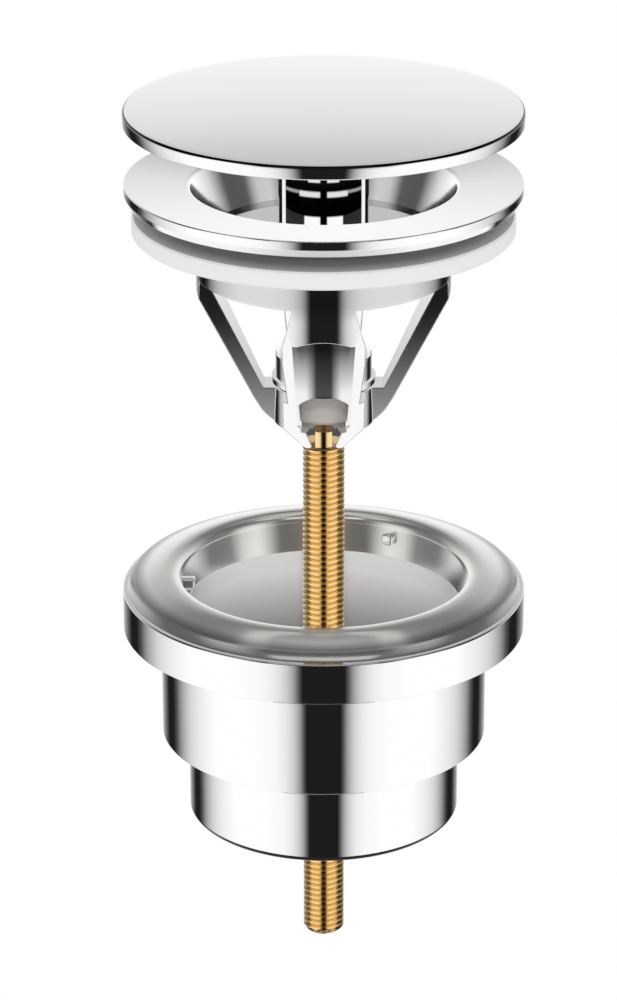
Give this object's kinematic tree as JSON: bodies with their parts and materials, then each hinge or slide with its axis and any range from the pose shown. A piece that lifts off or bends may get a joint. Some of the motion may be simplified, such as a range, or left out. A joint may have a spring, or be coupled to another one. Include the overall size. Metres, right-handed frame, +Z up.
{
  "type": "push-open basin waste",
  "caption": "Push-open basin waste with a round cover disc, flanged body on four legs, threaded clamping rod and stepped lower body that screws up under the basin.",
  "frame": {"origin": "on the axis, in the plane where the upper seal's underside lies on the basin", "axes": "+Z up along the axis from the clamping rod to the cover disc; the two wide legs stand at -Y and +Y, the two narrow legs at -X and +X"},
  "size_m": [0.0676, 0.0676, 0.1493],
  "materials": {
    "chrome_cap": "chrome plate with a fine satin sheen on top",
    "chrome": "mirror chrome plate on brass",
    "dark_chrome": "dark mirror chrome plate",
    "white_rubber": "matte white",
    "silicone": "translucent warm grey silicone, soft sheen",
    "brass": "bare brass, cut thread",
    "warm_plastic": "warm grey moulded plastic",
    "white_plastic": "natural white moulded plastic",
    "grey_plastic": "grey moulded plastic",
    "dark_rubber": "matte black rubber",
    "steel": "drawn stainless steel"
  },
  "bodies": {
    "body": {"waste_body": "chrome", "upper_seal": "white_rubber", "click_core": "chrome", "core_gasket": "dark_rubber", "core_plug": "warm_plastic", "click_spring": "steel", "clamp_rod": "brass"},
    "cap": {"cover_cap": "chrome_cap", "seal_carrier": "white_plastic", "cap_seal": "dark_rubber", "cap_stud": "steel", "click_sleeve": "dark_chrome", "stop_ring": "white_plastic", "plunger": "white_plastic"},
    "cam": {"cam_ring": "grey_plastic"},
    "seal": {"lower_seal": "silicone"},
    "lower": {"lower_body": "chrome", "bridge": "chrome", "outlet_washer": "dark_rubber"}
  },
  "joints": [
    {"name": "cap_push", "type": "slide", "parent": "body", "child": "cap", "axis": [0, 0, 1], "range_m": [-0.009, 0], "stiffness_N_per_m": 400, "springref_m": 0.012, "deforming": ["click_spring"]},
    {"name": "cam_turn", "type": "hinge", "parent": "cap", "child": "cam", "pos_m": [0, 0, 0.01], "axis": [0, 0, 1], "continuous": true},
    {"name": "lower_climb", "type": "slide", "parent": "body", "child": "seal", "axis": [0, 0, 1], "range_m": [-0.03501, 0.04551]},
    {"name": "lower_turn", "type": "hinge", "parent": "seal", "child": "lower", "pos_m": [0, 0, -0.085], "axis": [0, 0, 1], "range_deg": [-12600, 16380]}
  ],
  "couplings": [
    {"joint": "lower_climb", "follows": "lower_turn", "m_per_rad": 0.00015915}
  ]
}
